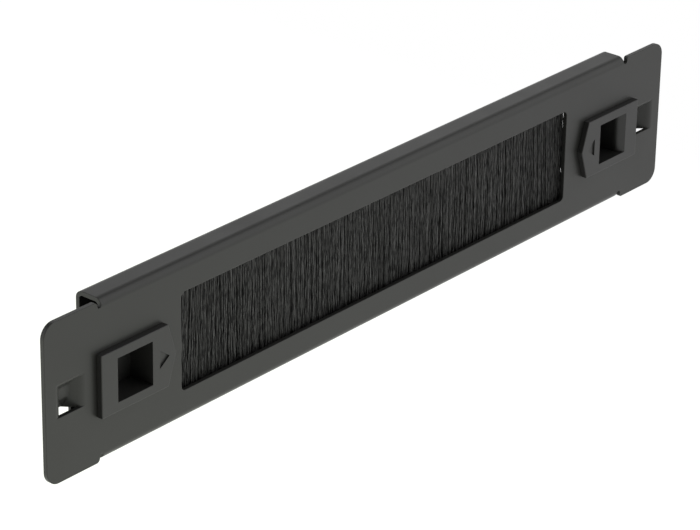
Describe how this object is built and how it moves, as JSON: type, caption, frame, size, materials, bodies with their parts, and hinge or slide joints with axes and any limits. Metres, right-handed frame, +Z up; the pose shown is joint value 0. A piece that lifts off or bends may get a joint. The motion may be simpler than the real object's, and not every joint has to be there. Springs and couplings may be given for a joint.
{
  "type": "rack brush strip panel",
  "caption": "Black folded-steel cable pass-through panel for a small rack, with a hanging bristle curtain in a wide window and a sliding latch at each end.",
  "frame": {"origin": "bottom centre of the bounding box: middle of the panel's length and of its whole depth, on the plane of its lower edge", "axes": "+X along the panel to the right as seen from the front, +Y from the front face to the back, +Z up"},
  "size_m": [0.254, 0.0122, 0.0443],
  "materials": {
    "powder_coated_steel": "satin",
    "latch_plastic": "satin",
    "nylon_filament": "satin",
    "zinc_plated_steel": "satin",
    "spring_steel": "satin"
  },
  "bodies": {
    "panel": {"front_panel": "powder_coated_steel", "brush_channel": "zinc_plated_steel", "brush_core_wire": "zinc_plated_steel", "bristle_curtain": "nylon_filament", "clamp_screw_1": "zinc_plated_steel", "clamp_screw_2": "zinc_plated_steel", "clamp_screw_3": "zinc_plated_steel"},
    "left_latch": {"left_latch_knob": "latch_plastic", "left_latch_bolt": "latch_plastic", "left_latch_upper_spring": "spring_steel", "left_latch_lower_spring": "spring_steel"},
    "right_latch": {"right_latch_knob": "latch_plastic", "right_latch_bolt": "latch_plastic", "right_latch_upper_spring": "spring_steel", "right_latch_lower_spring": "spring_steel"}
  },
  "joints": [
    {"name": "left_latch_slide", "type": "slide", "parent": "panel", "child": "left_latch", "axis": [1, 0, 0], "range_m": [0, 0.0044]},
    {"name": "right_latch_slide", "type": "slide", "parent": "panel", "child": "right_latch", "axis": [-1, 0, 0], "range_m": [0, 0.0044]}
  ]
}
